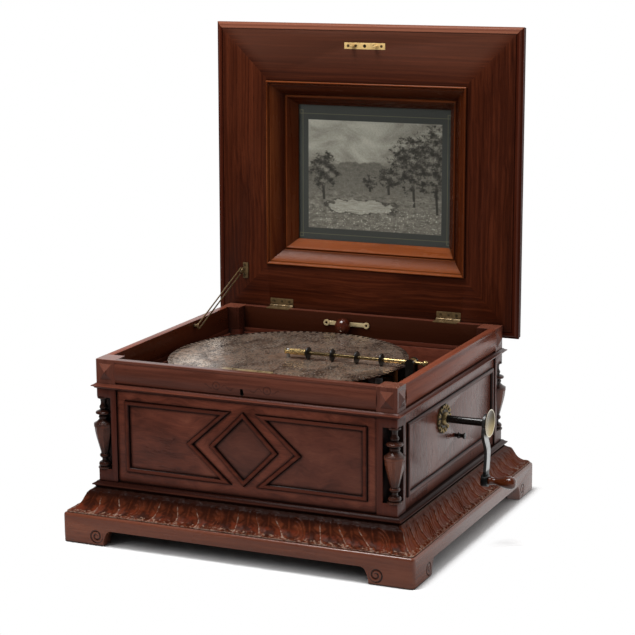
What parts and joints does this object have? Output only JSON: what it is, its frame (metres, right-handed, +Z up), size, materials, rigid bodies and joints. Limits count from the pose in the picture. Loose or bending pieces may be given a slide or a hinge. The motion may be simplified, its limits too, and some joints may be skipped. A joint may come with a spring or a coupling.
{
  "type": "disc music box",
  "caption": "Table disc music box in a carved mahogany case: open lid with a framed print, punched steel disc under a roller bar, side winding crank.",
  "frame": {"origin": "on the floor under the middle of the whole object with its lid open", "axes": "+Z up, +X to the crank side, +Y to the hinge side at the back"},
  "size_m": [0.6743, 0.5884, 0.7902],
  "materials": {
    "case_wood": "satin french polish",
    "carved_wood": "satin french polish, carved",
    "panel_veneer": "polished figured veneer",
    "bead_wood": "satin french polish",
    "turned_wood": "satin french polish",
    "plain_board": "unfinished",
    "lid_wood": "satin french polish",
    "frame_wood": "polished",
    "knob_wood": "polished",
    "brass": "satin",
    "aged_brass": "aged",
    "polished_brass": "polished",
    "gear_brass": "satin",
    "disc_steel": "patinated",
    "bright_steel": "bright",
    "black_iron": "black japanned",
    "picture_glass": "clear",
    "picture_print": "printed card under a slate mount"
  },
  "bodies": {
    "case": {"plinth_front": "case_wood", "plinth_back": "case_wood", "plinth_left": "case_wood", "plinth_right": "case_wood", "ogee_moulding": "carved_wood", "lower_moulding": "case_wood", "bottom_board": "plain_board", "wall_front": "panel_veneer", "wall_back": "panel_veneer", "wall_left": "panel_veneer", "wall_right": "panel_veneer", "corner_posts": "case_wood", "columns": "turned_wood", "upper_moulding": "case_wood", "frieze_front": "case_wood", "frieze_back": "case_wood", "frieze_left": "case_wood", "frieze_right": "case_wood", "corner_blocks": "case_wood", "panel_beads": "bead_wood", "lock": "brass", "hinge_rail_leaves": "brass", "stay_stud": "brass", "guard_strap": "brass", "guard_knob": "knob_wood", "bedplate": "black_iron", "spindle": "bright_steel", "star_gantry": "gear_brass", "comb": "bright_steel", "bar_bracket": "black_iron", "crank_escutcheon": "aged_brass"},
    "lid": {"lid_frame": "lid_wood", "lid_edge_moulding": "lid_wood", "picture_moulding": "frame_wood", "picture_glass": "picture_glass", "picture_print": "picture_print", "lid_top": "lid_wood", "catch_plate": "brass", "hinge_lid_leaves": "brass", "stay_bracket": "brass"},
    "stay": {"stay_loop": "brass"},
    "disc_body": {"disc": "disc_steel"},
    "bar": {"pressure_bar": "brass"},
    "roller_a": {"roller_1": "black_iron"},
    "roller_b": {"roller_2": "black_iron"},
    "roller_c": {"roller_3": "black_iron"},
    "roller_d": {"roller_4": "black_iron"},
    "crank": {"winding_shaft": "black_iron", "crank_arm": "bright_steel", "crank_hub": "polished_brass"},
    "grip": {"crank_grip": "knob_wood"},
    "wound_arbor": {"winding_arbor": "gear_brass"},
    "spring_barrel": {"barrel": "gear_brass"},
    "drive": {"drive_arbor": "gear_brass"},
    "sprocket": {"sprocket_arbor": "gear_brass"},
    "fly": {"governor": "bright_steel"},
    "stars": {"star_wheels": "gear_brass"},
    "start": {"start_knob": "black_iron"}
  },
  "joints": [
    {"name": "lid_hinge", "type": "hinge", "parent": "case", "child": "lid", "pos_m": [-0.037, 0.2295, 0.29315], "axis": [-1, 0, 0], "range_deg": [-91, 0]},
    {"name": "stay_swing", "type": "hinge", "parent": "lid", "child": "stay", "pos_m": [-0.271, 0.2247, 0.35324], "axis": [1, 0, 0], "range_deg": [-112.8, 0.5]},
    {"name": "bar_lift", "type": "hinge", "parent": "case", "child": "bar", "pos_m": [0.15, -0.017, 0.2751], "axis": [0, 1, 0], "range_deg": [0, 80]},
    {"name": "disc_spin", "type": "hinge", "parent": "case", "child": "disc_body", "pos_m": [-0.067, -0.017, 0.2645], "axis": [0, 0, 1], "continuous": true},
    {"name": "sprocket_spin", "type": "hinge", "parent": "case", "child": "sprocket", "pos_m": [-0.067, -0.133, 0.23613], "axis": [0, 1, 0], "continuous": true},
    {"name": "drive_spin", "type": "hinge", "parent": "case", "child": "drive", "pos_m": [0.023, -0.05942, 0.23613], "axis": [1, 0, 0], "continuous": true},
    {"name": "barrel_spin", "type": "hinge", "parent": "case", "child": "spring_barrel", "pos_m": [0.113, -0.05, 0.165], "axis": [1, 0, 0], "continuous": true},
    {"name": "fly_spin", "type": "hinge", "parent": "case", "child": "fly", "pos_m": [0.112, -0.07641, 0.236], "axis": [0, 0, 1], "continuous": true},
    {"name": "star_spin", "type": "hinge", "parent": "case", "child": "stars", "pos_m": [0.043, -0.017, 0.2565], "axis": [1, 0, 0], "continuous": true},
    {"name": "crank_turn", "type": "hinge", "parent": "case", "child": "crank", "pos_m": [0.243, -0.05, 0.198], "axis": [1, 0, 0], "continuous": true},
    {"name": "arbor_turn", "type": "hinge", "parent": "case", "child": "wound_arbor", "pos_m": [0.113, -0.05, 0.165], "axis": [1, 0, 0], "continuous": true},
    {"name": "grip_spin", "type": "hinge", "parent": "crank", "child": "grip", "pos_m": [0.313, -0.05, 0.105], "axis": [1, 0, 0], "continuous": true},
    {"name": "start_slide", "type": "slide", "parent": "case", "child": "start", "axis": [1, 0, 0], "range_m": [0, 0.006]},
    {"name": "roller_a_spin", "type": "hinge", "parent": "bar", "child": "roller_a", "pos_m": [-0.031, -0.017, 0.2751], "axis": [1, 0, 0], "continuous": true},
    {"name": "roller_b_spin", "type": "hinge", "parent": "bar", "child": "roller_b", "pos_m": [0.0119, -0.017, 0.2751], "axis": [1, 0, 0], "continuous": true},
    {"name": "roller_c_spin", "type": "hinge", "parent": "bar", "child": "roller_c", "pos_m": [0.0548, -0.017, 0.2751], "axis": [1, 0, 0], "continuous": true},
    {"name": "roller_d_spin", "type": "hinge", "parent": "bar", "child": "roller_d", "pos_m": [0.0977, -0.017, 0.2751], "axis": [1, 0, 0], "continuous": true}
  ],
  "couplings": [
    {"joint": "stay_swing", "follows": "lid_hinge", "ratio": 1.2341},
    {"joint": "sprocket_spin", "follows": "disc_spin", "ratio": 6.75},
    {"joint": "drive_spin", "follows": "disc_spin", "ratio": 6.75},
    {"joint": "barrel_spin", "follows": "disc_spin", "ratio": -1.6364},
    {"joint": "fly_spin", "follows": "disc_spin", "ratio": 54},
    {"joint": "star_spin", "follows": "disc_spin", "ratio": -15.721},
    {"joint": "arbor_turn", "follows": "crank_turn", "ratio": -0.46667},
    {"joint": "roller_a_spin", "follows": "disc_spin", "ratio": 3.6},
    {"joint": "roller_b_spin", "follows": "disc_spin", "ratio": 7.89},
    {"joint": "roller_c_spin", "follows": "disc_spin", "ratio": 12.18},
    {"joint": "roller_d_spin", "follows": "disc_spin", "ratio": 16.47}
  ]
}
